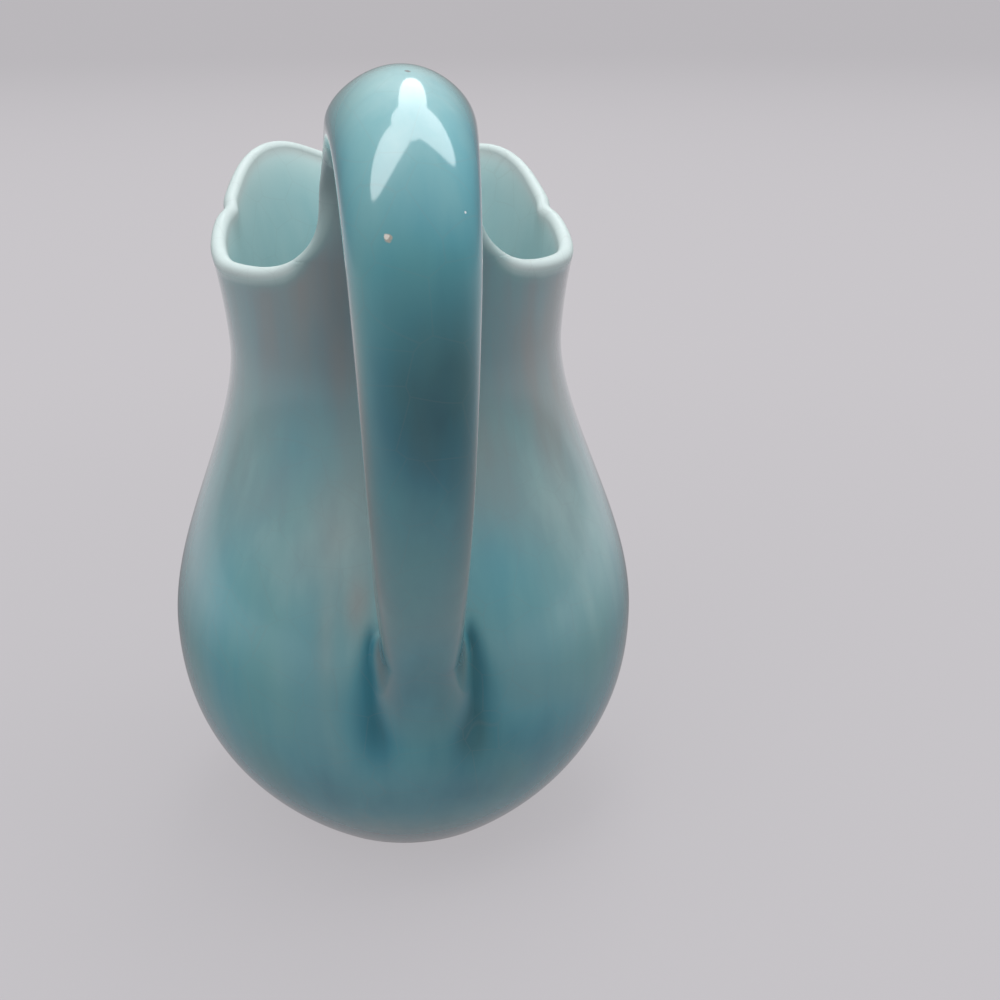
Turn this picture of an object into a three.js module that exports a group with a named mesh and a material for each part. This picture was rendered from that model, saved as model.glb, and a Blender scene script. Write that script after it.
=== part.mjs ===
// Creamer: a slip-cast earthenware jug with a pinched mouth and a strap handle, in millimetres.
// +Z is up, the handle is towards -Y, and the origin is the middle of the flat foot.
// Angles round the pot start at the handle and grow towards +X.
import * as THREE from 'three';
import { mergeVertices } from 'three/addons/utils/BufferGeometryUtils.js';

const degree = Math.PI / 180;

// Pot wall, from the foot up
const footRadius = 17.8;
const footBevel = 0.8;
const footFlare = 1.3; // outward run of the wall for each millimetre of rise at the foot
const bellyRadius = 36.4;
const bellyAboveFoot = 34.8;
const neckRadius = 24.8;
const neckAboveBelly = 45.8;
const wallThickness = 3.4;
const lipThickness = 2.3;
const floorThickness = 4.5;
const bowlPower = 2.2; // 2 makes the bowl inside an ellipse, and more makes it fuller

// Mouth: low rim beside the handle, side lobes, pinches and the raised pouring lip
const rimAboveNeck = 12.2;
const mouthRadius = 24.5;
const flareBelowNeck = 8; // how far below the neck the wall starts to follow the mouth
const flarePower = 2.2;
const lobeBulge = 2.6;
const lobeAngle = 91 * degree;
const lobeSpread = 43 * degree;
const pinchDepth = 1.1;
const pinchAngle = 104 * degree;
const pinchSpread = 4 * degree;
const frontFlare = 7.6;
const frontFlareFrom = 104 * degree;
const frontTop = 152 * degree; // where the pouring lip has its full rise and flare
const frontRise = 13.3;
const frontRiseFrom = 72 * degree;
const spoutReach = 5.5;
const spoutSpread = 18 * degree;
const spoutDip = 5.8;
const spoutDipSpread = 24 * degree;

// Tongue at the back of the rim, which the handle springs from
const tongueHalfWidth = 11;
const tongueThickness = 3.2;
const tongueSpread = 34 * degree; // how far round the thicker lip of the tongue reaches
const tongueRise = 7.2;
const tongueSweep = 3.4; // length in which the rim sweeps up into the tongue
const tongueEdge = 0.3; // rounding left on the tongue's flat top

// Joints between the pieces of clay
const seam = 0.3;
const slipThickness = 0.8;
const filletReach = 2.2;
const tailFeather = 8; // length in which the tip of the tail fades into the belly
const filletFill = 0.25; // how far the wiped clay stands off its corner, as a share of a flat bevel

// Strap handle: half widths and half thicknesses at its arch, leg, tail and tip
const fingerGap = 25;
const archRise = 12;
const legDrop = 17.2; // from the top of the arch to where the leg stands out furthest
const legEase = 20;
const tailEase = 20;
const tailAboveBelly = 6;
const tailAngle = 26 * degree; // between the tail and the upright
const tailRun = 16; // straight run of the strap past the belly, from which its end is cut
const rootTaper = 0.3; // narrowing of each side for each millimetre of rise at the root
const archHalfWidth = 8.9;
const legHalfWidth = 7.5;
const tailHalfWidth = 4.5;
const tipHalfWidth = 0.9;
const archOuter = 7.4;
const legOuter = 5;
const tailOuter = 3.7;
const tipOuter = 3;
const archInner = 4.6;
const legInner = 4.4;
const tailInner = 3.7;
const tipInner = 3;
const rootSquareness = 4.5; // 2 makes the strap's section an ellipse, and more a rounded slab
const archSquareness = 2;
const archCrown = 1.22; // more than 1 draws the top of the arch up to a soft ridge
const legSquareness = 3;
const tailSquareness = 2.4;

// Thumb marks pressed into the belly beside the tail
const dentDepth = 1.1;
const dentSide = 6.3;
const dentSpread = 2.6;
const dentBelowTail = 4;
const dentTall = 9;

// Fineness of the surfaces
const potColumns = 88;
const columnCrowding = 0.4; // draws the columns together at the handle
const outerRows = 24;
const lipRows = 5;
const neckRows = 11;
const bowlRows = 9;
const strapSides = 32;
const strapRows = 40;
const capRows = 4;
const filletRows = 5;
const landingTries = 40; // halvings of the search for where the strap lands
const slopeStep = 1e-3; // small angle over which the slope of the rim is taken
const sameVertex = 1e-4;

const bellyLevel = bellyAboveFoot;
const neckLevel = bellyLevel + neckAboveBelly;
const rimLevel = neckLevel + rimAboveNeck;
const tongueLevel = rimLevel + tongueRise;
const tongueAngle = Math.asin(tongueHalfWidth / mouthRadius);
const tailLevel = bellyLevel + tailAboveBelly;

const bump = (distance, spread) => Math.exp(-((distance / spread) ** 2));

// Cubic from a to b over t = 0 to 1, with slopes da and db for the whole step
function cubic(t, a, da, b, db) {
  const fall = 2 * t ** 3 - 3 * t ** 2 + 1;
  return fall * a + (t ** 3 - 2 * t ** 2 + t) * da + (1 - fall) * b + (t ** 3 - t ** 2) * db;
}

// Smooth curve through values at the given stops, as a function of the place between them
function curveThrough(stops, values, firstSlope = 0) {
  const last = stops.length - 1;
  const slopes = values.map((value, i) => {
    if (i === 0) return firstSlope;
    const before = i - 1;
    const after = Math.min(i + 1, last);
    return (values[after] - values[before]) / (stops[after] - stops[before]);
  });
  return (place) => {
    let i = 0;
    while (i < last - 1 && place > stops[i + 1]) i += 1;
    const step = stops[i + 1] - stops[i];
    const t = THREE.MathUtils.clamp((place - stops[i]) / step, 0, 1);
    return cubic(t, values[i], slopes[i] * step, values[i + 1], slopes[i + 1] * step);
  };
}

// Angle from the handle, 0 to pi on either side
const fromHandle = (angle) => Math.abs(Math.atan2(Math.sin(angle), Math.cos(angle)));

// Plan of the mouth: the outer radius of the rim round the pot
function rimRadius(angle) {
  const turn = fromHandle(angle);
  const lobe = lobeBulge * bump(turn - lobeAngle, lobeSpread);
  const pinch = pinchDepth * bump(turn - pinchAngle, pinchSpread);
  const front = frontFlare * THREE.MathUtils.smoothstep(turn, frontFlareFrom, frontTop);
  const spout = spoutReach * bump(Math.PI - turn, spoutSpread);
  return mouthRadius + lobe - pinch + front + spout;
}

// Thickness of the lip round the pot
function lip(angle) {
  return lipThickness + (tongueThickness - lipThickness) * bump(fromHandle(angle), tongueSpread);
}

// Height of the rim round the pot
function rimHeight(angle) {
  const turn = fromHandle(angle);
  const front = frontRise * THREE.MathUtils.smoothstep(turn, frontRiseFrom, frontTop);
  const dip = spoutDip * bump(Math.PI - turn, spoutDipSpread);
  const outside = Math.max(mouthRadius * (turn - tongueAngle), 0);
  return rimLevel + front - dip + tongueRise * Math.exp(-outside / tongueSweep);
}

// Radius of the round pot at a height: foot to belly, then belly to neck
function potRadius(height) {
  if (height < bellyLevel) {
    return cubic(height / bellyLevel, footRadius, footFlare * bellyLevel, bellyRadius, 0);
  }
  const t = Math.min((height - bellyLevel) / neckAboveBelly, 1);
  return cubic(t, bellyRadius, 0, neckRadius, 0);
}

// Depth of the thumb marks beside the handle's tail
function dent(angle, height) {
  const side = fromHandle(angle) * bellyRadius;
  return dentDepth * bump(side - dentSide, dentSpread) * bump(height - tailLevel + dentBelowTail, dentTall);
}

// Outside of the pot: the round wall, drawn out to the mouth above the neck
function outerRadius(angle, height) {
  const flareLevel = neckLevel - flareBelowNeck;
  const share = Math.max((height - flareLevel) / (rimHeight(angle) - flareLevel), 0);
  const mouth = (rimRadius(angle) - neckRadius) * Math.min(share, 1) ** flarePower;
  return potRadius(height) + mouth - dent(angle, height);
}

const onPot = (angle, radius, height) =>
  new THREE.Vector3(radius * Math.sin(angle), -radius * Math.cos(angle), height);

// Moves a point out or in to a distance from the outside of the pot
function seatOnPot(point, distance) {
  const angle = Math.atan2(point.x, -point.y);
  return onPot(angle, outerRadius(angle, point.z) + distance, point.z);
}

// How far a point lies outside the pot
function distanceFromPot(point) {
  const angle = Math.atan2(point.x, -point.y);
  return Math.hypot(point.x, point.y) - outerRadius(angle, point.z);
}

// Closed surface through rings of points; rings that shrink to a point or a line close an end
function surfaceThrough(rings, joinEnds = false) {
  const count = rings[0].length;
  const geometry = new THREE.BufferGeometry().setFromPoints(rings.flat());
  const faces = [];
  const lastRing = joinEnds ? rings.length : rings.length - 1;
  for (let i = 0; i < lastRing; i += 1) {
    const low = i * count;
    const high = ((i + 1) % rings.length) * count;
    for (let j = 0; j < count; j += 1) {
      const next = (j + 1) % count;
      faces.push([low + j, low + next, high + next], [low + j, high + next, high + j]);
    }
  }
  geometry.setIndex(faces.flat());
  const merged = mergeVertices(geometry, sameVertex);
  const corners = merged.getIndex().array;
  const kept = [];
  for (let i = 0; i < corners.length; i += 3) {
    const [a, b, c] = corners.slice(i, i + 3);
    if (a !== b && b !== c && c !== a) kept.push(a, b, c);
  }
  merged.setIndex(kept);
  merged.computeVertexNormals();
  return merged;
}

const steps = (count) => Array.from({ length: count + 1 }, (_, i) => i / count);

// Pot shell: foot, outer wall, rounded lip, inner wall and bowl, one ring of points after another
function makeBody() {
  const angles = Array.from({ length: potColumns }, (_, i) => {
    const turn = (2 * Math.PI * i) / potColumns;
    return turn - columnCrowding * Math.sin(turn);
  });
  const ring = (place) => angles.map((angle) => onPot(angle, ...place(angle)));
  const edge = (angle) => {
    if (fromHandle(angle) <= tongueAngle) return tongueEdge;
    const slope = (rimHeight(angle + slopeStep) - rimHeight(angle)) / (slopeStep * mouthRadius);
    return (lip(angle) / 2) * Math.hypot(1, slope); // a round lip, cut upright where it slopes
  };
  const wallTop = (angle) => rimHeight(angle) - edge(angle);
  const rings = [ring(() => [0, 0]), ring(() => [footRadius - footBevel, 0])];

  for (const t of steps(outerRows)) {
    rings.push(ring((angle) => {
      const height = footBevel + t * (wallTop(angle) - footBevel);
      return [outerRadius(angle, height), height];
    }));
  }
  for (const t of steps(lipRows).slice(1, -1)) {
    rings.push(ring((angle) => {
      const middle = outerRadius(angle, wallTop(angle)) - lip(angle) / 2;
      const over = (lip(angle) / 2) * Math.cos(Math.PI * t);
      return [middle + over, wallTop(angle) + edge(angle) * Math.sin(Math.PI * t)];
    }));
  }
  for (const t of steps(neckRows)) {
    rings.push(ring((angle) => {
      const height = THREE.MathUtils.lerp(wallTop(angle), bellyLevel, t);
      const thickness = THREE.MathUtils.lerp(lip(angle), wallThickness, t);
      return [outerRadius(angle, height) + dent(angle, height) - thickness, height];
    }));
  }
  for (const t of steps(bowlRows).slice(1)) {
    const across = Math.max(Math.cos((Math.PI / 2) * t), 0) ** (2 / bowlPower);
    const down = Math.sin((Math.PI / 2) * t) ** (2 / bowlPower);
    const radius = t === 1 ? 0 : (bellyRadius - wallThickness) * across;
    const height = bellyLevel - (bellyLevel - floorThickness) * down;
    rings.push(ring(() => [radius, height]));
  }
  return surfaceThrough(rings);
}

// Middle line of the strap: up from the tongue, over the arch, down the leg and into the belly
const rootLevel = tongueLevel + 2 * seam + slipThickness;
const rootY = tongueThickness / 2 - mouthRadius;
const legY = -(mouthRadius + fingerGap + legInner);
const archY = (rootY + legY) / 2;
const archLevel = rootLevel + archRise;
const legLevel = archLevel - legDrop;
const quarterPull = 0.5523; // makes a cubic follow a quarter of an ellipse
const inPlane = (y, z) => new THREE.Vector3(0, y, z);
const tail = inPlane(-outerRadius(0, tailLevel), tailLevel);
const tailAim = inPlane(Math.sin(tailAngle), -Math.cos(tailAngle));
const strapLine = new THREE.CurvePath();
strapLine.add(new THREE.CubicBezierCurve3(
  inPlane(rootY, rootLevel),
  inPlane(rootY, rootLevel + quarterPull * archRise),
  inPlane(archY + quarterPull * (rootY - archY), archLevel),
  inPlane(archY, archLevel),
));
strapLine.add(new THREE.CubicBezierCurve3(
  inPlane(archY, archLevel),
  inPlane(archY + quarterPull * (legY - archY), archLevel),
  inPlane(legY, legLevel + quarterPull * legDrop),
  inPlane(legY, legLevel),
));
strapLine.add(new THREE.CubicBezierCurve3(
  inPlane(legY, legLevel),
  inPlane(legY, legLevel - legEase),
  tail.clone().addScaledVector(tailAim, -tailEase),
  tail,
));
strapLine.add(new THREE.LineCurve3(tail, tail.clone().addScaledVector(tailAim, tailRun)));

const strapLengths = strapLine.getCurveLengths();
const strapLength = strapLine.getLength();
const strapStops = [0, ...strapLengths];
const halfWidth = curveThrough(
  strapStops,
  [tongueHalfWidth, archHalfWidth, legHalfWidth, tailHalfWidth, tipHalfWidth],
  -rootTaper,
);
const halfOuter = curveThrough(
  strapStops, [tongueThickness / 2, archOuter, legOuter, tailOuter, tipOuter]);
const halfInner = curveThrough(
  strapStops, [tongueThickness / 2, archInner, legInner, tailInner, tipInner]);
const squareness = curveThrough(
  strapStops, [rootSquareness, archSquareness, legSquareness, tailSquareness, tailSquareness]);
const crown = curveThrough(strapStops, [1, archCrown, 1, 1, 1]);
const bow = curveThrough(strapStops, [1 / (2 * -rootY), 0, 0, 0, 0]); // the root follows the round neck

// Point of the strap's surface at a distance along it and an angle round its section, grown outwards
function strapPoint(distance, angle, grown = 0) {
  const share = THREE.MathUtils.clamp(distance / strapLength, 0, 1);
  const middle = strapLine.getPoint(share);
  const along = strapLine.getTangent(share);
  const out = inPlane(along.z, -along.y);
  const power = 2 / squareness(distance);
  const round = (value) => Math.sign(value) * Math.abs(value) ** power;
  const side = (halfWidth(distance) + grown) * round(Math.cos(angle));
  const through = round(Math.sin(angle));
  const depth = through > 0
    ? (halfOuter(distance) + grown) * through ** crown(distance)
    : (halfInner(distance) + grown) * through;
  const rise = depth + bow(distance) * side ** 2;
  return middle.addScaledVector(out, rise).setX(side);
}

const strapAngles = Array.from({ length: strapSides }, (_, i) => (2 * Math.PI * i) / strapSides);

// Distance along the strap at which the line at this angle comes down to a height above the pot
function strapLanding(angle, above, grown) {
  let free = strapStops[2];
  let inside = strapLength;
  for (let i = 0; i < landingTries; i += 1) {
    const middle = (free + inside) / 2;
    if (distanceFromPot(strapPoint(middle, angle, grown)) > above) free = middle;
    else inside = middle;
  }
  return free;
}

// Rings that draw a ring in onto its own middle line, outermost first
function closingRings(ring, place = (point) => point) {
  const mirrored = (j) => ring[(ring.length - j) % ring.length];
  return steps(capRows).slice(1).map((t) => ring.map((point, j) => {
    const middle = point.clone().add(mirrored(j)).multiplyScalar(0.5);
    return place(point.clone().lerp(middle, t));
  }));
}

// Handle: every line of the strap runs from the root until it lands just clear of the belly
function makeHandle() {
  const landings = strapAngles.map((angle) => strapLanding(angle, seam, 0));
  const tube = steps(strapRows).map((t) =>
    strapAngles.map((angle, j) => strapPoint(t * landings[j], angle)));
  const rootCap = closingRings(tube[0]).reverse();
  const tailCap = closingRings(tube.at(-1), (point) => seatOnPot(point, seam));
  return surfaceThrough([...rootCap, ...tube, ...tailCap]);
}

// Slip between the tongue and the handle's root, with the outline of the root
function makeUpperSlip() {
  const atLevel = (level) => strapAngles.map((angle) => strapPoint(0, angle).setZ(level));
  const under = atLevel(tongueLevel + seam);
  const over = atLevel(tongueLevel + seam + slipThickness);
  return surfaceThrough([...closingRings(under).reverse(), under, over, ...closingRings(over)]);
}

// Wiped clay round the tail: a hollow curve from the strap to the belly, with its corner behind it
function makeLowerFillet() {
  const sections = strapAngles.map((angle) => {
    const reach = THREE.MathUtils.lerp(filletReach, tailFeather, Math.max(Math.sin(angle), 0) ** 2);
    const landing = strapLanding(angle, seam, seam);
    const corner = strapPoint(landing, angle, seam);
    const onStrap = strapPoint(landing - reach, angle, seam);
    const away = corner.clone().sub(tail).normalize();
    const onBelly = seatOnPot(corner.clone().addScaledVector(away, reach), seam);
    const underBelly = seatOnPot(corner.clone().addScaledVector(away, reach / 2), seam);
    const bevel = onStrap.clone().lerp(onBelly, 0.5);
    const hollow = new THREE.QuadraticBezierCurve3(
      onStrap, corner.clone().lerp(bevel, filletFill), onBelly);
    return [corner, ...hollow.getPoints(filletRows), underBelly];
  });
  const rings = sections[0].map((_, i) => sections.map((section) => section[i]));
  return surfaceThrough(rings, true);
}

const glaze = () => new THREE.MeshStandardMaterial({ color: 0x84b4ba, roughness: 0.15, metalness: 0 });

const creamer = new THREE.Group();
const pieces = {
  body: makeBody(),
  handle: makeHandle(),
  upper_luting_slip: makeUpperSlip(),
  lower_luting_fillet: makeLowerFillet(),
};
for (const [name, geometry] of Object.entries(pieces)) {
  const piece = new THREE.Mesh(geometry, glaze());
  piece.name = name;
  creamer.add(piece);
}

export default creamer;
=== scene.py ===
import bmesh
import bpy
import numpy as np
from mathutils import Matrix


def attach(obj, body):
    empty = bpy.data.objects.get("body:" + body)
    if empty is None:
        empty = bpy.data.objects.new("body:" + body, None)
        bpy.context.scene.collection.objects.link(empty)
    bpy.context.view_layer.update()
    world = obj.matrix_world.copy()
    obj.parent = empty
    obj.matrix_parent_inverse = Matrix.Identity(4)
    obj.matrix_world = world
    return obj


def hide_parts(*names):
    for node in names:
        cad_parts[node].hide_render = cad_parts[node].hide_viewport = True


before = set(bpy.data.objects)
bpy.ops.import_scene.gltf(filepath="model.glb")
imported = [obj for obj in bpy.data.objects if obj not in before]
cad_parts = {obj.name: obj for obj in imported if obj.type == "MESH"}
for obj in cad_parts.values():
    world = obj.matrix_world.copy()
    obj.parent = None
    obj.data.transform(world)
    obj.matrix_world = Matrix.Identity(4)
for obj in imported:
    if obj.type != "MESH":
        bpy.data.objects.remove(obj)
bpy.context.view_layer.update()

# Body: the pot in one piece, white earthenware cast from liquid clay in a plaster mould.
# The mouth was trimmed and pinched into two lobes and a pouring lip while the clay was soft, and a tongue
# was left at the back of the rim for the handle. The foot is flat, and its edge is wiped clean of glaze.
mm = 0.001
degree = np.pi / 180
foot_radius = 17.8
foot_bevel = 0.8
foot_flare = 1.3
belly_radius = 36.4
belly_level = 34.8
neck_radius = 24.8
neck_level = 80.6
wall_thickness = 3.4
lip_thickness = 2.3
floor_thickness = 4.5
bowl_power = 2.2
rim_level = 92.8
mouth_radius = 24.5
flare_level = 72.6
flare_power = 2.2
lobe_bulge = 2.5
lobe_angle = 89.5 * degree
lobe_skew = 4.3 * degree
lobe_spread = 43 * degree
pinch_depth = 1.1
pinch_angle = 105.4 * degree
pinch_spread = 3.2 * degree
pinch_power = 9
front_flare = 7.5
front_flare_from = 103.2 * degree
front_rise = 13.3
front_rise_from = 70.6 * degree
front_rise_skew = 1.2 * degree
front_rise_lean = 0.9
front_top = 154 * degree
spout_reach = 5.5
spout_spread = 18 * degree
spout_dip = 5.8
spout_dip_spread = 24 * degree
tongue_half_width = 11
tongue_thickness = 3.2
tongue_spread = 34 * degree
tongue_rise = 7.2
tongue_sweep = 3.4
tongue_reach = 50 * degree
tongue_cut = 94.8
tongue_angle = np.arcsin(tongue_half_width / mouth_radius)
tongue_level = rim_level + tongue_rise
dent_depth = 1.1
dent_side = 7.3
dent_lean = 0.5
dent_narrow = 0.8
dent_broad = 2.8
dent_top = 48
dent_level = 33
dent_foot = 20.5
dent_tip = 5
pot_columns = 320
crowding = 0.5
foot_rings = 6
bevel_rings = 7
wall_rings = 120
lip_rings = 18
inner_rings = 60
bowl_rings = 30
weld_distance = 1e-7
crease_angle = 60 * degree


def bump(distance, spread):
    """Smooth hill, 1 high: e to the power of minus the square of distance over spread."""
    return np.exp(-((distance / spread) ** 2))


def ease(value, low, high):
    """Smooth step from 0 at low to 1 at high: 3t^2 - 2t^3 of the share t of the way between them."""
    t = np.clip((value - low) / (high - low), 0, 1)
    return t * t * (3 - 2 * t)


def cubic(t, a, slope_a, b, slope_b):
    """Cubic from a to b over t = 0 to 1 that leaves a and reaches b with the given slopes."""
    fall = 2 * t**3 - 3 * t**2 + 1
    return fall * a + (t**3 - 2 * t**2 + t) * slope_a + (1 - fall) * b + (t**3 - t**2) * slope_b


def from_handle(angle):
    """Angle from the handle, 0 to pi on either side."""
    return np.abs(np.arctan2(np.sin(angle), np.cos(angle)))


def rim_radius(angle):
    """Plan of the mouth without its pinches: a circle with a bulge at each lobe and a flared spout.

    The lobe on the +X side is a little nearer to the handle than the other.
    """
    turn = from_handle(angle)
    lobe = lobe_bulge * bump(turn - lobe_angle + lobe_skew * np.sin(angle), lobe_spread)
    front = front_flare * ease(turn, front_flare_from, front_top)
    spout = spout_reach * bump(np.pi - turn, spout_spread)
    return mouth_radius + lobe + front + spout


def lip(angle):
    """Thickness of the lip, which swells at the tongue."""
    return lip_thickness + (tongue_thickness - lip_thickness) * bump(from_handle(angle), tongue_spread)


def rim_height(angle):
    """Rim: level at the sides, raised in front with a dip at the spout, and swept up to the tongue.

    The sweep is an exponential of the distance from the tongue. On the +X side the front rises later and
    less.
    """
    turn = from_handle(angle)
    side = np.sin(angle)
    raised = ease(turn - front_rise_skew * side, front_rise_from, front_top)
    front = (front_rise - front_rise_lean * side) * raised
    dip = spout_dip * bump(np.pi - turn, spout_dip_spread)
    outside = np.maximum(mouth_radius * (turn - tongue_angle), 0)
    return rim_level + front - dip + tongue_rise * np.exp(-outside / tongue_sweep)


def pot_radius(height):
    """Profile of the round pot: one cubic from the foot to the belly and one from the belly to the neck."""
    below = cubic(height / belly_level, foot_radius, foot_flare * belly_level, belly_radius, 0)
    share = np.clip((height - belly_level) / (neck_level - belly_level), 0, 1)
    return np.where(height < belly_level, below, cubic(share, belly_radius, 0, neck_radius, 0))


def dent(angle, height):
    """Depth of the thumb marks beside the handle's tail: a hill on each side, broadest below, like a drop."""
    side = np.abs(np.arctan2(np.sin(angle), np.cos(angle)) * belly_radius - dent_lean)
    spread = dent_narrow + (dent_broad - dent_narrow) * ease(-height, -dent_top, -dent_level)
    upright = ease(-height, -dent_top, -dent_top + dent_tip) * ease(height, dent_foot, dent_level)
    return dent_depth * bump(side - dent_side, spread) * upright


def outer_radius(angle, height):
    """Outside of the pot: its round profile, drawn out to the mouth by a power of the height.

    The pinches, narrow hills in plan, are taken off by a higher power, so that they fade below the rim. The
    thumb marks are taken off too.
    """
    share = np.clip((height - flare_level) / (rim_height(angle) - flare_level), 0, 1)
    mouth = (rim_radius(angle) - neck_radius) * share**flare_power
    pinch = pinch_depth * bump(from_handle(angle) - pinch_angle, pinch_spread) * share**pinch_power
    return pot_radius(height) + mouth - pinch - dent(angle, height)


def on_pot(angle, radius, height):
    """Point at an angle from the handle, a radius and a height."""
    angle, radius, height = np.broadcast_arrays(angle, radius, height)
    return np.stack([radius * np.sin(angle), -radius * np.cos(angle), height], axis=-1)


def lip_edge(angle):
    """Height of the lip's rounding: half its thickness, and more where an upright cut slants across it."""
    step = 1e-3
    slope = (rim_height(angle + step) - rim_height(angle)) / (step * mouth_radius)
    return lip(angle) / 2 * np.hypot(1, slope)


lip_coat = 0.02
lip_band = 1.1
lip_step = 5 * degree
lip_fade_before = 4 * degree
lip_fade_after = 12 * degree
belly_coat = 0.5
low_pool = 0.2
low_pool_level = 18
low_pool_spread = 8
neck_coat = 0.1
neck_coat_levels = (70, 85)
dent_pool = 0.42
dent_pool_power = 0.8
belly_clay = 0.12
belly_clay_levels = (10, 30)
neck_clay = 0.4
neck_clay_levels = (belly_level + 6, neck_level - 6)
mouth_coat = 0.31
deep_coat = 0.1
deep_coat_depth = 50
mouth_thin = 0.16
mouth_thin_spread = 3.5
edge_thin = 0.15
edge_thin_spread = 0.8
foot_coat = 0.7
bowl_coat = 0.43

# Each patch: angle from the handle in degrees, height, half width, half height, added thickness, added clay.
glaze_and_shade_patches = [
    (-51, 46, 7, 16, 0.1, -0.15),
    (-25, 58, 8, 7, -0.06, 0.05),
    (-34, 70, 9, 8, 0.08, -0.2),
    (-14, 49.5, 2.2, 4, -0.05, 0.35),
    (-21, 45, 1.5, 8, -0.06, 0.15),
    # Painted shade: the next three darken the neck beside the handle with deeper glaze.
    (-21, 90, 6, 14, 0.26, 0.0),
    (21, 90, 5, 12, 0.12, 0.0),
    (34, 80, 10, 13, 0.12, 0.0),
    (-42, 29, 10, 8, 0.04, -0.1),
    (22, 54, 7, 7, 0.06, -0.12),
    (49, 54, 7, 12, -0.05, 0.0),
    (22, 27, 12, 5, 0.14, -0.12),
    (0, 29, 9, 5, 0.14, -0.12),
]


def lip_share(angle):
    """How far the rim is a plain lip: 0 at the tongue, where it runs into the handle, and 1 from there on."""
    return ease(from_handle(angle), tongue_angle - lip_fade_before, tongue_angle + lip_fade_after)


def outside_glaze(angle, height):
    """Thickness of the glaze outside, how far the clay shows through it, and its dullness, which is none.

    The clay shows up the neck, the glaze is deep in the thumb marks, and on the lip it is thinnest. Each
    patch adds a hill; the three on the neck beside the handle are painted shade.
    """
    angle, height = np.broadcast_arrays(angle, height)
    slope = (rim_height(angle + lip_step) - rim_height(angle - lip_step)) / (2 * lip_step * mouth_radius)
    below_lip = (rim_height(angle) - lip(angle) / 2 - height) / np.hypot(1, slope)
    thinned = bump(np.maximum(below_lip, 0), lip_band) * lip_share(angle)
    pooled = dent(angle, height) / dent_depth
    low = low_pool * bump(height - low_pool_level, low_pool_spread)
    high = neck_coat * ease(height, *neck_coat_levels)
    thickness = belly_coat + low + high + dent_pool * pooled**dent_pool_power
    clay = belly_clay * ease(height, *belly_clay_levels) + neck_clay * ease(height, *neck_clay_levels)
    for patch_angle, patch_level, wide, tall, thicker, barer in glaze_and_shade_patches:
        apart = angle - patch_angle * degree
        off = np.arctan2(np.sin(apart), np.cos(apart)) * belly_radius
        patch = bump(off, wide) * bump(height - patch_level, tall)
        thickness = thickness + thicker * patch
        clay = clay + barer * patch
    thickness = thickness + (lip_coat - thickness) * thinned
    clay = clay * (1 - thinned) * (1 - pooled)
    return np.stack([thickness, clay, np.zeros_like(thickness)], axis=-1)


def inside_glaze(angle, below_top):
    """Glaze inside: dull, without clay, and thin near the lip, by hills of the depth below the wall's top."""
    angle, below_top = np.broadcast_arrays(angle, below_top)
    thin = mouth_thin * bump(below_top, mouth_thin_spread) + edge_thin * bump(below_top, edge_thin_spread)
    thickness = mouth_coat + deep_coat * ease(below_top, 0, deep_coat_depth) - thin * lip_share(angle)
    return np.stack([thickness, np.zeros_like(thickness), np.ones_like(thickness)], axis=-1)


def plain_glaze(points, thickness, dull):
    """The same thickness of glaze and the same dullness at every point, without clay."""
    return np.broadcast_to([thickness, 0, dull], points.shape[:2] + (3,))


def pot_surface():
    """Rings from the middle of the foot up the outside, over the round lip and down to the bowl's middle.

    Returns the points and the glaze at each, which is duller inside. Columns crowd towards the handle by a
    sine, and the tongue is cut off under the handle's joint.
    """
    turn = np.linspace(0, 2 * np.pi, pot_columns, endpoint=False)[None, :]
    angle = turn - crowding * np.sin(turn)
    edge = lip_edge(angle)
    ceiling = np.where(from_handle(angle) < tongue_reach, tongue_cut, np.inf)
    wall_top = np.minimum(rim_height(angle) - edge, ceiling)

    base = np.linspace(0, 1, foot_rings)[:, None]
    foot = on_pot(angle, base * (foot_radius - foot_bevel), 0)
    foot_turn = np.linspace(0, np.pi / 2, bevel_rings)[1:-1, None]
    foot_edge = on_pot(
        angle, foot_radius - foot_bevel * (1 - np.sin(foot_turn)), foot_bevel * (1 - np.cos(foot_turn))
    )

    t = np.linspace(0, 1, wall_rings)[:, None]
    height = foot_bevel + t * (wall_top - foot_bevel)
    outside = on_pot(angle, outer_radius(angle, height), height)
    outside_coat = outside_glaze(angle, height)

    over = np.linspace(0, np.pi, lip_rings)[1:-1, None]
    middle = outer_radius(angle, wall_top) - lip(angle) / 2
    height = np.minimum(wall_top + edge * np.sin(over), ceiling)
    rim = on_pot(angle, middle + lip(angle) / 2 * np.cos(over), height)

    t = np.linspace(0, 1, inner_rings)[:, None]
    height = wall_top + t * (belly_level - wall_top)
    thickness = lip(angle) + t * (wall_thickness - lip(angle))
    inside = on_pot(angle, outer_radius(angle, height) + dent(angle, height) - thickness, height)
    inside_coat = inside_glaze(angle, wall_top - height)

    t = np.linspace(0, 1, bowl_rings)[1:, None]
    across = np.maximum(np.cos(np.pi / 2 * t), 0) ** (2 / bowl_power)
    across[-1] = 0
    down = np.sin(np.pi / 2 * t) ** (2 / bowl_power)
    bowl_height = belly_level - (belly_level - floor_thickness) * down
    bowl = on_pot(angle, (belly_radius - wall_thickness) * across, bowl_height)

    over_share = np.linspace(0, 1, len(rim))[:, None, None]
    rim_coat = (1 - over_share) * outside_coat[-1:] + over_share * inside_coat[:1]

    points = np.concatenate([foot, foot_edge, outside, rim, inside, bowl])
    coat = np.concatenate([
        plain_glaze(foot, foot_coat, 0), plain_glaze(foot_edge, foot_coat, 0), outside_coat, rim_coat,
        inside_coat, plain_glaze(bowl, bowl_coat, 1),
    ])
    return points, coat


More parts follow.
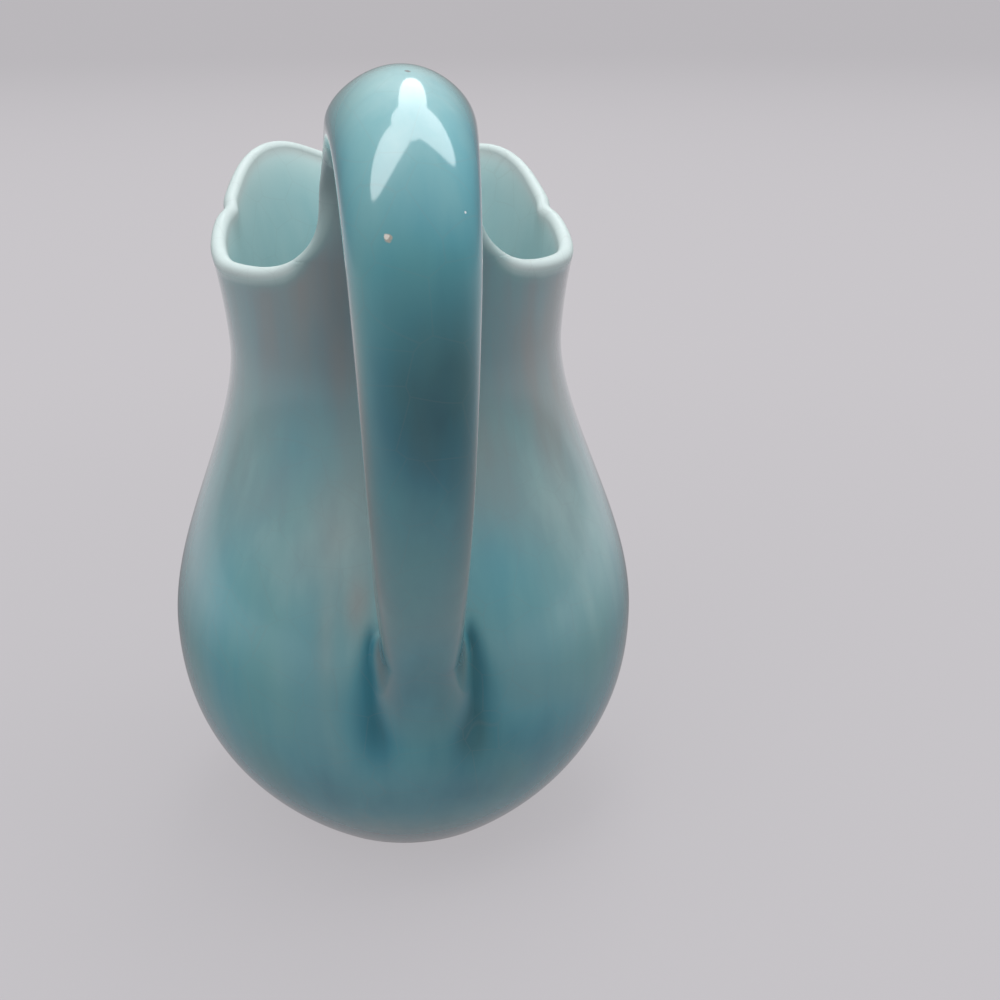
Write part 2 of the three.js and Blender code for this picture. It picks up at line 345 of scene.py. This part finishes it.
class Wire:
    """An output in a material's node tree. Arithmetic on wires adds Math nodes, node() adds any other."""

    def __init__(self, tree, output=None):
        self.tree = tree
        self.output = output

    def node(self, kind, settings, inputs, output=0):
        """Adds a node: its settings first, a ramp's stops too, then the value or link of each socket."""
        added = self.tree.nodes.new(kind)
        for name, value in settings.items():
            if name == "stops":
                for place, colour in value[2:]:
                    added.color_ramp.elements.new(place)
                for element, (place, colour) in zip(added.color_ramp.elements, value):
                    element.position = place
                    element.color = (*colour, 1)
            else:
                setattr(added, name, value)
        for name, value in inputs.items():
            if isinstance(value, Wire):
                self.tree.links.new(value.output, added.inputs[name])
            else:
                added.inputs[name].default_value = value
        return Wire(self.tree, added.outputs[output] if added.outputs else None)

    def math(self, operation, first, second):
        return self.node("ShaderNodeMath", {"operation": operation}, {0: first, 1: second})

    def __add__(self, other):
        return self.math("ADD", self, other)

    __radd__ = __add__

    def __sub__(self, other):
        return self.math("SUBTRACT", self, other)

    def __rsub__(self, other):
        return self.math("SUBTRACT", other, self)

    def __mul__(self, other):
        return self.math("MULTIPLY", self, other)

    __rmul__ = __mul__

    def rise(self, low, high):
        """Smooth step of this value from 0 at low to 1 at high."""
        settings = {"interpolation_type": "SMOOTHSTEP"}
        return self.node("ShaderNodeMapRange", settings, {"Value": self, "From Min": low, "From Max": high})

    def blend(self, first, second):
        """Colour from first to second as this value goes from 0 to 1."""
        settings = {"data_type": "RGBA"}
        return self.node("ShaderNodeMix", settings, {0: self, 6: first, 7: second}, 2)


glaze_stops = [
    (0.0, (0.58, 0.67, 0.66)),
    (0.2, (0.42, 0.6, 0.6)),
    (0.36, (0.32, 0.53, 0.545)),
    (0.5, (0.175, 0.425, 0.465)),
    (0.64, (0.105, 0.38, 0.45)),
    (0.82, (0.04, 0.26, 0.34)),
    (1.0, (0.012, 0.14, 0.19)),
]
copper_green = (0.17, 0.4, 0.38, 1)
clay_grey = (0.315, 0.28, 0.26, 1)
bare_clay = (0.72, 0.66, 0.57, 1)
craze_brown = (0.25, 0.27, 0.25, 1)
cloud_stretch = (1, 1, 0.55)
cloud_scale = 42
cloud_swing = 0.45
run_stretch = (1, 1, 0.07)
run_scale = 260
run_swing = 0.18
swing_depths = (0.1, 0.4)
green_scale = 65
green_share = 0.35
green_clouds = (0.45, 0.75)
green_depths = (0.3, 0.5)
clay_break = 2
craze_scale = 150
craze_width = 0.02
craze_share = 0.1
thin_depths = (0.02, 0.32)
gloss = 0.09
cloud_dulls = 0.06
thin_dulls = 0.3
dull_dulls = 0.2
bare_dulls = 0.5
thin_uncoats = 0.8
dull_uncoats = 0.75
chip_grain = 2200
chip_core = 0.6
bare_levels = (1.0 * mm, 1.3 * mm)
ripple_scale = 260
ripple_strength = 0.05
ripple_height = 0.5 * mm


def glaze(name, marks=()):
    """Glaze whose colour follows its thickness, from pale and matte on the lip to deep blue where it pools.

    Clay shows through in soft patches, clouds and upright runs vary both, and hair-thin crazing crosses it.
    The foot's edge is bare. Each mark is a pit or chip: a point in millimetres, a radius and a colour.
    """
    material = bpy.data.materials.new(name)
    material.use_nodes = True
    tree = material.node_tree
    tree.nodes.clear()
    start = Wire(tree)
    place = start.node("ShaderNodeTexCoord", {}, {}, "Object")
    depth = start.node("ShaderNodeAttribute", {"attribute_name": "glaze_depth"}, {}, "Fac")
    clay = start.node("ShaderNodeAttribute", {"attribute_name": "clay_shows"}, {}, "Fac")
    dull = start.node("ShaderNodeAttribute", {"attribute_name": "dull"}, {}, "Fac")
    height = start.node("ShaderNodeSeparateXYZ", {}, {"Vector": place}, "Z")

    stretch = {"operation": "MULTIPLY"}
    tall = start.node("ShaderNodeVectorMath", stretch, {0: place, 1: cloud_stretch}, "Vector")
    clouds = start.node("ShaderNodeTexNoise", {}, {"Vector": tall, "Scale": cloud_scale, "Detail": 3}, "Fac")
    drawn = start.node("ShaderNodeVectorMath", stretch, {0: place, 1: run_stretch}, "Vector")
    runs = start.node("ShaderNodeTexNoise", {}, {"Vector": drawn, "Scale": run_scale, "Detail": 3}, "Fac")
    wanders = depth.rise(*swing_depths)
    varied = depth + (cloud_swing * (clouds - 0.5) + run_swing * (runs - 0.5)) * wanders
    colour = start.node("ShaderNodeValToRGB", {"stops": glaze_stops}, {"Fac": varied}, "Color")
    greens = start.node("ShaderNodeTexNoise", {}, {"Vector": tall, "Scale": green_scale, "Detail": 2}, "Fac")
    greened = green_share * greens.rise(*green_clouds) * depth.rise(*green_depths)
    colour = greened.blend(colour, copper_green)
    broken = clay * (1 + clay_break * (0.5 - greens) + (runs - 0.5))
    colour = broken.blend(colour, clay_grey)

    settings = {"feature": "DISTANCE_TO_EDGE"}
    cracks = start.node("ShaderNodeTexVoronoi", settings, {"Vector": place, "Scale": craze_scale}, "Distance")
    crazing = craze_share * (1 - cracks.rise(0.0, craze_width))
    colour = crazing.blend(colour, craze_brown)

    thin = 1 - depth.rise(*thin_depths)
    rough = gloss + cloud_dulls * clouds + thin_dulls * thin + dull_dulls * dull
    ragged = start.node("ShaderNodeTexNoise", {}, {"Vector": place, "Scale": chip_grain, "Detail": 2}, "Fac")
    for point, radius, mark_colour in marks:
        apart = start.node(
            "ShaderNodeVectorMath", {"operation": "DISTANCE"}, {0: place, 1: mm * point}, "Value"
        )
        size = radius * mm
        mark = 1 - (apart + size * (ragged - 0.5)).rise(chip_core * size, size)
        colour = mark.blend(colour, (*mark_colour, 1))

    bare = 1 - height.rise(*bare_levels)
    colour = bare.blend(colour, bare_clay)
    rough = rough + bare_dulls * bare
    rippled = {"Vector": place, "Scale": ripple_scale, "Detail": 2}
    ripple = start.node("ShaderNodeTexNoise", {}, rippled, "Fac")
    raised = {"Strength": ripple_strength, "Distance": ripple_height, "Height": ripple}
    normal = start.node("ShaderNodeBump", {}, raised, "Normal")
    coated = (1 - thin_uncoats * thin) * (1 - dull_uncoats * dull)
    shader = start.node(
        "ShaderNodeBsdfPrincipled", {},
        {
            "Base Color": colour, "Roughness": rough, "Normal": normal, "Coat Weight": coated,
            "Coat IOR": 1.75, "Coat Roughness": 0.09, "Specular IOR Level": 0.2,
        },
    )
    start.node("ShaderNodeOutputMaterial", {}, {"Surface": shader})
    return material


def add_piece(name, points, coat, material, joined=False):
    """Adds a closed surface from rows of points, rows by columns by 3, in millimetres.

    Quads join each row to the next, and the last column to the first. Rows that shrink to a point are welded
    there, and joined links the last row to the first. coat is the glaze's thickness, the clay and the
    dullness.
    """
    rows, columns = points.shape[:2]
    grid = np.arange(rows * columns).reshape(rows, columns)
    low = grid if joined else grid[:-1]
    high = np.roll(grid, -1, axis=0) if joined else grid[1:]
    corners = [low, np.roll(low, -1, axis=1), np.roll(high, -1, axis=1), high]
    faces = np.stack(corners, axis=-1).reshape(-1, 4)
    mesh = bpy.data.meshes.new(name)
    mesh.from_pydata((mm * points.reshape(-1, 3)).tolist(), [], faces.tolist())
    for attribute_name, values in zip(("glaze_depth", "clay_shows", "dull"), np.moveaxis(coat, -1, 0)):
        attribute = mesh.attributes.new(attribute_name, "FLOAT", "POINT")
        attribute.data.foreach_set("value", values.astype(np.float32).ravel())
    welded = bmesh.new()
    welded.from_mesh(mesh)
    bmesh.ops.remove_doubles(welded, verts=welded.verts, dist=weld_distance)
    welded.to_mesh(mesh)
    welded.free()
    mesh.polygons.foreach_set("use_smooth", np.ones(len(mesh.polygons), bool))
    mesh.set_sharp_from_angle(angle=crease_angle)
    mesh.materials.append(material)
    piece = bpy.data.objects.new(name, mesh)
    bpy.context.scene.collection.objects.link(piece)
    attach(piece, "root")
    return piece


pot = add_piece("glazed_pot", *pot_surface(), glaze("pot_glaze"))
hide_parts("body")

# Handle: one strap of soft clay, pulled to a taper, stuck to the tongue and arched down onto the belly.
# It is round over the arch and flatter down the leg, where the glaze runs off its edges onto its face.
root_level = tongue_level + 1.4
root_y = tongue_thickness / 2 - mouth_radius
finger_gap = 25
arch_rise = 12
leg_drop = 17.2
leg_ease = 20
tail_ease = 20
tail_level = 40.8
tail_angle = 26 * degree
tail_run = 16
root_taper = 0.3
arch_half_width = 8.9
leg_half_width = 7.4
tail_half_width = 5.0
tip_half_width = 0.9
arch_outer = 7.4
leg_outer = 5
tail_outer = 3.7
tip_outer = 3
arch_inner = 4.6
leg_inner = 4.4
tail_inner = 3.7
tip_inner = 3
root_squareness = 4.5
arch_squareness = 2
arch_crown = 1.22
leg_squareness = 3
tail_squareness = 2.4
arch_lean = -0.2
leg_lean = -0.1
tail_lean = 0.4
tip_lean = 0.9
handle_buried = 0.8
joint_end = 3.0
strap_sides = 96
strap_rows = 300
line_points = 400
landing_halvings = 40

leg_y = -(mouth_radius + finger_gap + leg_inner)
arch_y = (root_y + leg_y) / 2
arch_level = root_level + arch_rise
leg_level = arch_level - leg_drop
quarter_pull = 0.5523
tail_y = -float(outer_radius(0.0, tail_level))
tail_aim = np.array([np.sin(tail_angle), -np.cos(tail_angle)])
tail_end = np.array([tail_y, tail_level])
fillet_back = 6.5
tail_feather = 9
strap_sink = 0.35
strap_sink_run = 2


def bezier(t, a, b, c, d):
    """Cubic curve: its four points weighted by (1-t)^3, 3t(1-t)^2, 3t^2(1-t) and t^3."""
    return (1 - t) ** 3 * a + 3 * t * (1 - t) ** 2 * b + 3 * t**2 * (1 - t) * c + t**3 * d


def strap_line():
    """Middle line of the strap in the plane x = 0: up from the tongue, over the arch, down into the belly.

    Returns closely spaced points (y, z), their distances along the line from the root, and the distances of
    the arch's top, the leg's outermost place, the tail and the far end.
    """
    t = np.linspace(0, 1, line_points)[:, None]
    root = np.array([root_y, root_level])
    arch = np.array([arch_y, arch_level])
    leg = np.array([leg_y, leg_level])
    up = np.array([0.0, 1.0])
    out = np.array([-1.0, 0.0])
    half_span = arch_y - leg_y
    curves = [
        bezier(t, root, root + quarter_pull * arch_rise * up, arch - quarter_pull * half_span * out, arch),
        bezier(t, arch, arch + quarter_pull * half_span * out, leg + quarter_pull * leg_drop * up, leg),
        bezier(t, leg, leg - leg_ease * up, tail_end - tail_ease * tail_aim, tail_end),
        tail_end + tail_run * tail_aim * t,
    ]
    line = np.concatenate([curves[0]] + [curve[1:] for curve in curves[1:]])
    distance = np.concatenate([[0], np.cumsum(np.hypot(*np.diff(line, axis=0).T))])
    ends = np.cumsum([len(curve) - 1 for curve in curves])
    return line, distance, distance[ends]


strap_middle, strap_distance, strap_stops = strap_line()
strap_aim = np.gradient(strap_middle, strap_distance, axis=0)
leg_stop = strap_stops[1]
end_stop = strap_stops[3]


def along_strap(distance, root, arch, leg, tail, tip, first_slope=0.0):
    """Smooth curve through a value at the root, arch, leg, tail and tip: cubics that share their slopes."""
    stops = np.array([0.0, *strap_stops])
    values = np.array([root, arch, leg, tail, tip])
    slopes = np.empty(len(stops))
    slopes[0] = first_slope
    slopes[1:-1] = (values[2:] - values[:-2]) / (stops[2:] - stops[:-2])
    slopes[-1] = (values[-1] - values[-2]) / (stops[-1] - stops[-2])
    i = np.clip(np.searchsorted(stops, distance) - 1, 0, len(stops) - 2)
    step = stops[i + 1] - stops[i]
    t = np.clip((distance - stops[i]) / step, 0, 1)
    return cubic(t, values[i], slopes[i] * step, values[i + 1], slopes[i + 1] * step)


def superellipse(around, squareness):
    """Sideways and through shares of a superellipse: cosine and sine to the power of 2 over squareness."""
    across, through = np.cos(around), np.sin(around)
    power = 2 / squareness
    return np.sign(across) * np.abs(across) ** power, np.sign(through) * np.abs(through) ** power


def strap_point(distance, around, grown=0.0):
    """Point of the strap's surface: a superellipse across its middle line, bowed by a square law at the neck.

    Over the arch a power draws the outer half up to a soft ridge, and the strap leans a little to one side.
    around is the angle round the section, from the +X side over the outer face, and grown moves the point
    outwards.
    """
    distance, around = np.broadcast_arrays(distance, around)
    middle = [np.interp(distance, strap_distance, strap_middle[:, k]) for k in (0, 1)]
    aim = [np.interp(distance, strap_distance, strap_aim[:, k]) for k in (0, 1)]
    half_width = along_strap(
        distance, tongue_half_width, arch_half_width, leg_half_width, tail_half_width, tip_half_width,
        -root_taper,
    )
    outer = along_strap(distance, tongue_thickness / 2, arch_outer, leg_outer, tail_outer, tip_outer)
    inner = along_strap(distance, tongue_thickness / 2, arch_inner, leg_inner, tail_inner, tip_inner)
    squareness = along_strap(
        distance, root_squareness, arch_squareness, leg_squareness, tail_squareness, tail_squareness
    )
    bow = along_strap(distance, -1 / (2 * root_y), 0, 0, 0, 0)
    across, through = superellipse(around, squareness)
    crown = along_strap(distance, 1, arch_crown, 1, 1, 1)
    through = np.where(through > 0, np.abs(through) ** crown, through)
    side = (half_width + grown) * across
    rise = (np.where(through > 0, outer, inner) + grown) * through + bow * side**2
    lean = along_strap(distance, 0, arch_lean, leg_lean, tail_lean, tip_lean)
    return np.stack([side + lean, middle[0] + rise * aim[1], middle[1] - rise * aim[0]], axis=-1)


def strap_landing(around, above):
    """Distance along the strap at which each line is a height above the undented pot, found by halving."""
    free = np.full(around.shape, leg_stop)
    inside = np.full(around.shape, end_stop)
    for _ in range(landing_halvings):
        middle = (free + inside) / 2
        point = strap_point(middle, around)
        angle = np.arctan2(point[..., 0], -point[..., 1])
        pot = outer_radius(angle, point[..., 2]) + dent(angle, point[..., 2])
        clear = np.hypot(point[..., 0], point[..., 1]) - pot > above
        free = np.where(clear, middle, free)
        inside = np.where(clear, inside, middle)
    return free


def fillet_start(around):
    """Distance along the strap at which each line of the lower joint leaves it.

    How far that is before the belly goes from the sides to the outer face by a squared sine.
    """
    outer = np.maximum(np.sin(around), 0) ** 2
    back = fillet_back + (tail_feather - fillet_back) * outer
    return strap_landing(around, 0.0) - back


side_spread = (0.4, 0.6, 0.6, 0.75, 0.75)
face_coat = (0.45, 0.37, 0.57, 0.58, 0.82)
strap_clay = (0.4, 0.0, 0.06, 0.1, 0.0)
strap_dull = (1, 0, 0, 0, 0)
# Hill down the leg's face below its outermost place: partly deeper glaze, partly painted shade.
pool_and_shade_coat = 0.5
pool_and_shade_past_leg = 9
pool_and_shade_spread = 13
pool_and_shade_turn = 1.3
pool_and_shade_turn_spread = 1.1
arch_sides = 1.2
arch_sides_between = (9, 19)
leg_sides = 1.5
leg_sides_between = (28, 52)
tail_pool = 0.2
tail_pool_between = (90, 104)
edge_clay = 0.7
edge_clay_between = (leg_stop - 10, leg_stop + 10)


def strap_glaze(distance, around):
    """Thickness of the glaze on the strap, how far the clay shows through it, and its dullness.

    It is dull at the root, thin on the crown of the arch, and deep on the leg, where the edges show the clay.
    Below the leg's outermost place a hill darkens it, partly deeper glaze and partly painted shade, and it
    pools again at the tail.
    """
    distance, around = np.broadcast_arrays(distance, around)
    side = bump(np.sin(around), along_strap(distance, *side_spread))
    face = along_strap(distance, *face_coat)
    # Partly painted shade: a hill darkens the leg's outer face below its outermost place, besides deeper
    # glaze.
    pool_and_shade = pool_and_shade_coat * bump(distance - leg_stop - pool_and_shade_past_leg, pool_and_shade_spread)
    pool_and_shade = pool_and_shade * bump(around - pool_and_shade_turn, pool_and_shade_turn_spread)
    deeper = arch_sides * ease(distance, *arch_sides_between) - leg_sides * ease(distance, *leg_sides_between)
    end = ease(distance, *tail_pool_between)
    thickness = face * (1 + side * deeper) + pool_and_shade + tail_pool * end
    edge = edge_clay * side * ease(distance, *edge_clay_between)
    clay = along_strap(distance, *strap_clay) * (1 - end) + edge
    dull = np.maximum(along_strap(distance, *strap_dull), 0)
    return np.stack([thickness, clay, dull], axis=-1)


def strap_surface():
    """Every line of the strap runs from the upper joint until it is buried in the belly.

    Each end closes on a line. Past the place where the lower joint covers it, the strap sinks a little.
    """
    around = np.linspace(0, 2 * np.pi, strap_sides, endpoint=False)[None, :]
    t = np.linspace(0, 1, strap_rows)[:, None]
    distance = joint_end + t * (strap_landing(around, -handle_buried) - joint_end)
    start = fillet_start(around)
    sunk = strap_sink * ease(distance, start, start + strap_sink_run)
    tube = strap_point(distance, around, -sunk)
    ends = [closing_line(tube[0])[None], closing_line(tube[-1])[None]]
    coat = strap_glaze(distance, around)
    return np.concatenate([ends[0], tube, ends[1]]), np.concatenate([coat[:1], coat, coat[-1:]])


def closing_line(ring):
    """Line halfway between the two sides of a ring, each point paired with the one across from it."""
    return (ring + np.roll(ring[::-1], 1, axis=0)) / 2


# Each mark: its place along and around the strap, its radius and its colour.
strap_marks = [
    (strap_point(25.1, 1.5), 0.45, (0.16, 0.19, 0.19)),
    (strap_point(41.1, 1.83), 0.56, (0.45, 0.42, 0.36)),
    (strap_point(41.0, 1.85), 0.36, (0.84, 0.8, 0.72)),
    (strap_point(39.0, 0.88), 0.17, (0.8, 0.84, 0.84)),
]
handle = add_piece("strap_handle", *strap_surface(), glaze("handle_glaze", strap_marks))
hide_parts("handle")

# Upper joint: slip brushed over the seam where the handle's root sits on the tongue, and glazed over.
# It is wiped to a skin that runs smoothly from the tongue's faces and edges up onto the strap.
joint_level = tongue_cut
joint_pull = 1.0
joint_rows = 26
joint_buried = 0.3
joint_turn = 0.5
joint_step = 0.05


def tongue_outline(around, level):
    """Outline of the tongue at a level, round at its ends: the wall as far as the rim is higher."""
    end = tongue_angle - tongue_sweep * np.log((level - rim_level) / tongue_rise) / mouth_radius
    across, through = superellipse(around, root_squareness)
    angle = end * across
    edge = lip_edge(angle)
    wall_top = np.where(np.abs(angle) < tongue_angle, tongue_level, rim_height(angle) - edge)
    share = np.clip((level - wall_top) / edge, 0, 1)
    half = lip(angle) / 2 * np.sqrt(1 - share**2)
    middle = outer_radius(angle, np.minimum(level, wall_top)) - lip(angle) / 2
    return on_pot(angle, middle - np.sign(through) * half, level)


def joint_surface():
    """Cubic curves from the tongue's outline to the strap.

    Each leaves along the tongue and arrives along the strap. Each end of the skin closes on a line, buried a
    little in the clay that it meets.
    """
    around = np.linspace(0, 2 * np.pi, strap_sides, endpoint=False)
    low = tongue_outline(around, joint_level)
    high = strap_point(joint_end, around)
    leave = (tongue_outline(around, joint_level + joint_step) - low) / joint_step
    arrive = (high - strap_point(joint_end - joint_step, around)) / joint_step
    span = joint_pull * (root_level + joint_end - joint_level)
    t = ease(np.linspace(0, 1, joint_rows), 0, 1)[:, None, None]
    shown = cubic(t, low, span * leave, high, span * arrive)
    under = closing_line(low) - np.array([0, 0, joint_buried])
    over = closing_line(high) + np.array([0, 0, joint_buried])
    low_angle = np.arctan2(low[..., 0], -low[..., 1])
    inner = ease(np.sin(around), 0, joint_turn)[:, None]
    low_coat = (1 - inner) * outside_glaze(low_angle, joint_level) + inner * inside_glaze(low_angle, 0.0)
    coat = (1 - t) * low_coat + t * strap_glaze(joint_end, around)
    return np.concatenate([under[None], shown, over[None]]), np.concatenate([coat[:1], coat, coat[-1:]])


upper_joint = add_piece("upper_joint", *joint_surface(), glaze("upper_joint_glaze"))
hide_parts("upper_luting_slip")

# Lower joint: a coil of soft clay pressed round the handle's tail and wiped to a hollow fillet.
# It fills the corner between strap and belly, where the glaze pools. The thumb marks come from that wiping.
fillet_reach = 2.6
fillet_pull = 0.62
side_pull = 0.42
fillet_flat = 0.6
fillet_buried = 0.8
fillet_rows = 30
fillet_step = 0.05
coat_blend = (0.45, 0.95)


def seat_on_pot(point, above):
    """Moves points out or in, level, to a height above the outside of the pot."""
    angle = np.arctan2(point[..., 0], -point[..., 1])
    return on_pot(angle, outer_radius(angle, point[..., 2]) + above, point[..., 2])


def fillet_surface():
    """Cubic curves from the strap to the belly, each leaving along the strap and arriving along the belly.

    A buried line in the corner behind them closes the ring.
    """
    around = np.linspace(0, 2 * np.pi, strap_sides, endpoint=False)
    outer = np.maximum(np.sin(around), 0) ** 2
    landing = strap_landing(around, 0.0)
    start = fillet_start(around)
    corner = strap_point(landing, around)
    on_strap = strap_point(start, around)
    leave = (strap_point(start + fillet_step * (landing - start), around) - on_strap) / fillet_step
    reach = (fillet_reach + (tail_feather - fillet_reach) * outer)[:, None]
    away = (corner - np.array([0, tail_y, tail_level])) * np.array([1, 1, fillet_flat])
    away = away / np.linalg.norm(away, axis=-1, keepdims=True)
    on_belly = seat_on_pot(corner + reach * away, 0)
    pull = (fillet_pull + (side_pull - fillet_pull) * np.cos(around) ** 2)[:, None]
    near_belly = seat_on_pot(corner + (1 - pull) * reach * away, 0)
    near_strap = on_strap + pull * leave
    t = ease(np.linspace(0, 1, fillet_rows), 0, 1)[:, None, None]
    shown = bezier(t, on_strap, near_strap, near_belly, on_belly)
    hidden = seat_on_pot(strap_point(landing, around, -fillet_buried), -fillet_buried)
    shown_angle = np.arctan2(shown[..., 0], -shown[..., 1])
    blend = ease(t, *coat_blend)
    from_strap = (1 - blend) * strap_glaze(start, around)
    coat = from_strap + blend * outside_glaze(shown_angle, shown[..., 2])
    return np.concatenate([shown, hidden[None]]), np.concatenate([coat, coat[-1:]])


lower_joint = add_piece("lower_joint", *fillet_surface(), glaze("lower_joint_glaze"), True)
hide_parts("lower_luting_fillet")

# Stage: a wide pale floor that keeps the shadow, three soft oval lights above and a dim surround, in metres.
# The floor is an even pale colour to the camera, and in reflections it is brighter beyond the pot.
# The camera stands behind the handle and looks down into the mouth.
floor_half = 60.0
floor_colour = (0.36, 0.35, 0.365, 1)
backdrop_colour = (0.59, 0.57, 0.595, 1)
horizon_colour = (0.46, 0.445, 0.465, 1)
black = (0, 0, 0, 1)
near_ring = (0.03, 0.32)
far_ring = (0.4, 2.5)
beside_ring = (0.03, 0.12)
beyond_headings = (-1.1, 0.4)
mirror_least = 0.18
mirror_beside = 0.35
mirror_beyond = 0.78
mirror_farther = 0.46
mirror_share = 0.9
even_near = 0.76
even_far = 0.21
even_farther = 0.22
floor_material = bpy.data.materials.new("floor_paper")
floor_material.use_nodes = True
floor_material.node_tree.nodes.clear()
paper = Wire(floor_material.node_tree)
seen = paper.node("ShaderNodeLightPath", {}, {}, "Is Camera Ray")
glossy = paper.node("ShaderNodeLightPath", {}, {}, "Is Glossy Ray")
spread = paper.node("ShaderNodeTexCoord", {}, {}, "Object")
away = paper.node("ShaderNodeVectorMath", {"operation": "LENGTH"}, {0: spread}, "Value")
far = away.rise(*near_ring)
farther = away.rise(*far_ring)
beside = 1 - away.rise(*beside_ring)
heading = paper.node("ShaderNodeVectorMath", {"operation": "NORMALIZE"}, {0: spread}, "Vector")
beyond = paper.node("ShaderNodeSeparateXYZ", {}, {"Vector": heading}, "Y").rise(*beyond_headings)
mirrored = mirror_least + mirror_beside * beside + far * beyond * (mirror_beyond - mirror_farther * farther)
matte = paper.node("ShaderNodeBsdfDiffuse", {}, {"Color": floor_colour})
dimmed = (glossy * (1 - mirrored)).blend(backdrop_colour, black)
even = paper.node("ShaderNodeEmission", {}, {"Color": dimmed})
share = seen * (even_near + even_far * far - even_farther * farther) + mirror_share * glossy
surface = paper.node("ShaderNodeMixShader", {}, {0: share, 1: matte, 2: even})
paper.node("ShaderNodeOutputMaterial", {}, {"Surface": surface})
floor_mesh = bpy.data.meshes.new("floor")
floor_corners = [(x * floor_half, y * floor_half, 0) for x, y in ((-1, -1), (1, -1), (1, 1), (-1, 1))]
floor_mesh.from_pydata(floor_corners, [], [(0, 1, 2, 3)])
floor_mesh.materials.append(floor_material)
floor = bpy.data.objects.new("floor", floor_mesh)
bpy.context.scene.collection.objects.link(floor)
lamp_brightness = 3.1


def add_lamp(name, size, place, turn):
    """Adds a soft oval light that faces down, turned about the upright, as bright at any size."""
    light = bpy.data.lights.new(name, "AREA")
    light.shape = "ELLIPSE"
    light.size, light.size_y = size
    light.energy = lamp_brightness * np.pi**2 / 4 * size[0] * size[1]
    lamp = bpy.data.objects.new(name, light)
    lamp.location = place
    lamp.rotation_euler = (0, 0, turn)
    bpy.context.scene.collection.objects.link(lamp)


add_lamp("back_lamp", (0.32, 0.95), (0.12, 0.2, 0.8), -8 * degree)
add_lamp("right_lamp", (1.0, 0.42), (0.35, -0.06, 0.8), -3 * degree)
add_lamp("left_lamp", (1.0, 0.44), (-0.36, -0.43, 0.8), 38 * degree)

sky_tint = (0.97, 0.98, 1, 1)
sky_least = 0.1
sky_beyond = 0.16
sky_top = 0.54
sky_headings = (-0.9, 0.5)
surround = bpy.data.worlds.new("surround")
surround.use_nodes = True
surround.node_tree.nodes.clear()
air = Wire(surround.node_tree)
toward = air.node("ShaderNodeTexCoord", {}, {}, "Generated")
ahead = air.node("ShaderNodeSeparateXYZ", {}, {"Vector": toward}, "Y").rise(*sky_headings)
above = air.node("ShaderNodeSeparateXYZ", {}, {"Vector": toward}, "Z").rise(0.0, 1.0)
level = sky_least + sky_beyond * ahead + sky_top * above
sky = air.node("ShaderNodeBackground", {}, {"Color": sky_tint, "Strength": level})
shown = air.node("ShaderNodeLightPath", {}, {}, "Is Camera Ray")
plain = air.node("ShaderNodeBackground", {}, {"Color": horizon_colour})
view = air.node("ShaderNodeMixShader", {}, {0: shown, 1: sky, 2: plain})
air.node("ShaderNodeOutputWorld", {}, {"Surface": view})
bpy.context.scene.world = surround

# The camera's place is in millimetres.
camera_distance = 205
camera_height = 130.2
camera_azimuth = -2.45 * degree
camera_yaw = -6.8 * degree
camera_pitch = 20.9 * degree
camera_roll = -0.4 * degree
camera_field = 40 * degree
lens = bpy.data.cameras.new("camera")
lens.angle = camera_field
lens.clip_start = 0.01
camera = bpy.data.objects.new("camera", lens)
camera.location = mm * on_pot(camera_azimuth, camera_distance, camera_height)
aim = Matrix.Rotation(camera_yaw, 3, "Z") @ Matrix.Rotation(np.pi / 2 - camera_pitch, 3, "X")
camera.rotation_euler = (aim @ Matrix.Rotation(camera_roll, 3, "Z")).to_euler()
bpy.context.scene.collection.objects.link(camera)
bpy.context.scene.camera = camera
bpy.context.scene.view_settings.view_transform = "Standard"
